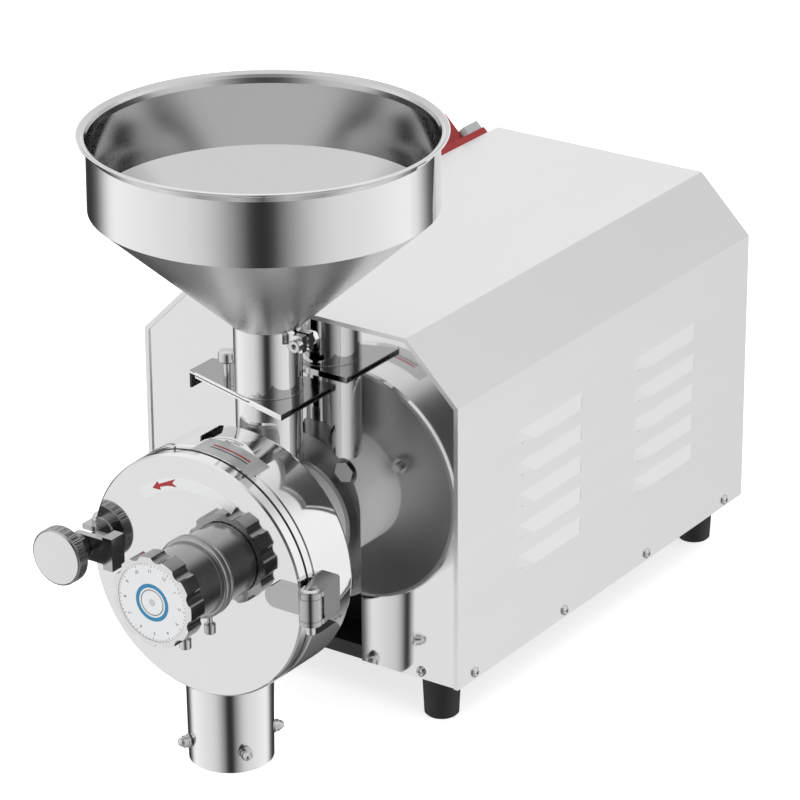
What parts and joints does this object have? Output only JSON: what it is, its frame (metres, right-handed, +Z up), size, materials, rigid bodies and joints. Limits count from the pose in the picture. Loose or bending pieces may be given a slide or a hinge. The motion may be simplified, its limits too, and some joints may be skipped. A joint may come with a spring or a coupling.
{
  "type": "grain mill",
  "caption": "Bench-top disc grain mill: boxed motor housing on rubber feet, round grinding chamber with hinged front cover and adjusting dial, hopper with gate, and round outlet.",
  "frame": {"origin": "the middle of the four feet, on the surface the mill stands on", "axes": "+X to the machine's right as seen from the grinding chamber, +Y from the grinding chamber to the rear panel, along the motor shaft, +Z up"},
  "size_m": [0.2685, 0.5412, 0.4193],
  "materials": {
    "stainless_satin": "satin",
    "stainless_mirror": "polished",
    "steel_turned": "fine turned",
    "steel_cast": "polished casting",
    "steel_fastener": "bright",
    "rear_steel": "satin",
    "black_paint": "semi gloss",
    "grey_cast": "machined",
    "aluminium": "cast",
    "core_steel": "machined",
    "black_rubber": "matte",
    "gasket_rubber": "matte",
    "white_plastic": "satin",
    "grey_plastic": "satin",
    "red_plastic": "satin",
    "green_plastic": "satin",
    "black_plastic": "satin"
  },
  "bodies": {
    "root": {"base_pan": "black_paint", "housing_cover": "stainless_satin", "front_panel": "stainless_mirror", "rear_panel": "rear_steel", "rubber_feet": "black_rubber", "foot_screws": "steel_fastener", "cover_screws": "steel_fastener", "motor_shell": "aluminium", "stator": "core_steel", "motor_front_flange": "grey_cast", "flange_bolts": "steel_fastener", "motor_rear_bell": "grey_cast", "fan_cowl": "black_paint", "front_bearing": "core_steel", "rear_bearing": "core_steel", "motor_cradle": "black_paint", "terminal_box": "black_plastic", "run_capacitor": "aluminium", "feed_barrel": "steel_turned", "drum_body": "stainless_mirror", "fixed_disc": "grey_cast", "disc_studs": "steel_fastener", "discharge_spout": "stainless_mirror", "spout_screws": "steel_fastener", "feed_tube_lower": "stainless_mirror", "feed_tube_upper": "stainless_mirror", "hinge_bracket": "steel_cast", "hinge_pin": "steel_fastener", "clamp_lug": "steel_cast", "clamp_pin": "steel_fastener", "switch_bezel": "red_plastic", "switch_body": "grey_plastic", "cable_gland": "black_plastic"},
    "rotor": {"rotor_shaft": "core_steel", "rotor_core": "core_steel", "feed_auger": "grey_cast", "rotating_disc": "grey_cast", "disc_nut": "steel_fastener", "cooling_fan": "black_plastic"},
    "cover": {"front_cover": "stainless_mirror", "cover_gasket": "gasket_rubber", "adjusting_sleeve": "steel_turned", "sleeve_ring": "steel_turned", "hinge_leaf": "steel_cast", "clamp_ear": "steel_cast"},
    "lock_screw": {"sleeve_lock_screw": "steel_fastener"},
    "thrust": {"thrust_bearing": "steel_turned"},
    "dial": {"dial_knob": "steel_cast", "dial_plate": "white_plastic", "dial_spindle": "steel_turned", "dial_screw": "steel_fastener"},
    "clamp_carrier": {"clamp_washer": "steel_turned"},
    "clamp_handwheel": {"clamp_knob": "steel_cast"},
    "gate": {"gate_plate": "stainless_mirror"},
    "gate_thumbscrew": {"gate_screw": "steel_fastener"},
    "hopper_bowl": {"hopper": "stainless_mirror"},
    "hopper_clamp": {"hopper_clamp_screw": "steel_fastener"},
    "paddle": {"stop_paddle": "red_plastic"},
    "start": {"start_button": "green_plastic"},
    "stop": {"stop_button": "red_plastic"}
  },
  "joints": [
    {"name": "rotor_spin", "type": "hinge", "parent": "root", "child": "rotor", "pos_m": [0, -0.177, 0.123], "axis": [0, 1, 0], "continuous": true},
    {"name": "cover_hinge", "type": "hinge", "parent": "root", "child": "cover", "pos_m": [0.093, -0.295, 0.1285], "axis": [0, 0, 1], "range_deg": [0, 115]},
    {"name": "dial_travel", "type": "slide", "parent": "cover", "child": "thrust", "axis": [0, -1, 0], "range_m": [-0.0008, 0.0008]},
    {"name": "dial_turn", "type": "hinge", "parent": "thrust", "child": "dial", "pos_m": [0, -0.327, 0.123], "axis": [0, -1, 0], "range_deg": [-180, 180]},
    {"name": "lock_screw_turn", "type": "hinge", "parent": "cover", "child": "lock_screw", "pos_m": [0, -0.3034, 0.09], "axis": [0, 0, 1], "range_deg": [0, 720]},
    {"name": "clamp_travel", "type": "slide", "parent": "cover", "child": "clamp_carrier", "axis": [0, -1, 0], "range_m": [0, 0.0076]},
    {"name": "clamp_turn", "type": "hinge", "parent": "clamp_carrier", "child": "clamp_handwheel", "pos_m": [-0.0915, -0.307, 0.123], "axis": [0, -1, 0], "range_deg": [0, 2160]},
    {"name": "gate_slide", "type": "slide", "parent": "root", "child": "gate", "axis": [-1, 0, 0], "range_m": [0, 0.05]},
    {"name": "gate_screw_turn", "type": "hinge", "parent": "root", "child": "gate_thumbscrew", "pos_m": [-0.029, -0.214, 0.236], "axis": [0, 0, 1], "range_deg": [0, 720]},
    {"name": "hopper_lift", "type": "slide", "parent": "root", "child": "hopper_bowl", "axis": [0, 0, 1], "range_m": [0, 0.06]},
    {"name": "hopper_clamp_turn", "type": "hinge", "parent": "root", "child": "hopper_clamp", "pos_m": [0.029, -0.209, 0.2635], "axis": [0, -1, 0], "range_deg": [0, 720]},
    {"name": "stop_paddle_hinge", "type": "hinge", "parent": "root", "child": "paddle", "pos_m": [-0.10977, 0.1592, 0.25207], "axis": [0.7071, 0, 0.7071], "range_deg": [0, 70]},
    {"name": "start_press", "type": "slide", "parent": "root", "child": "start", "axis": [0.7071, 0, -0.7071], "range_m": [0, 0.002], "stiffness_N_per_m": 400},
    {"name": "stop_press", "type": "slide", "parent": "root", "child": "stop", "axis": [0.7071, 0, -0.7071], "range_m": [0, 0.002], "stiffness_N_per_m": 400}
  ],
  "couplings": [
    {"joint": "dial_travel", "follows": "dial_turn", "m_per_rad": 0.00023873},
    {"joint": "clamp_travel", "follows": "clamp_turn", "m_per_rad": 0.00019894}
  ]
}
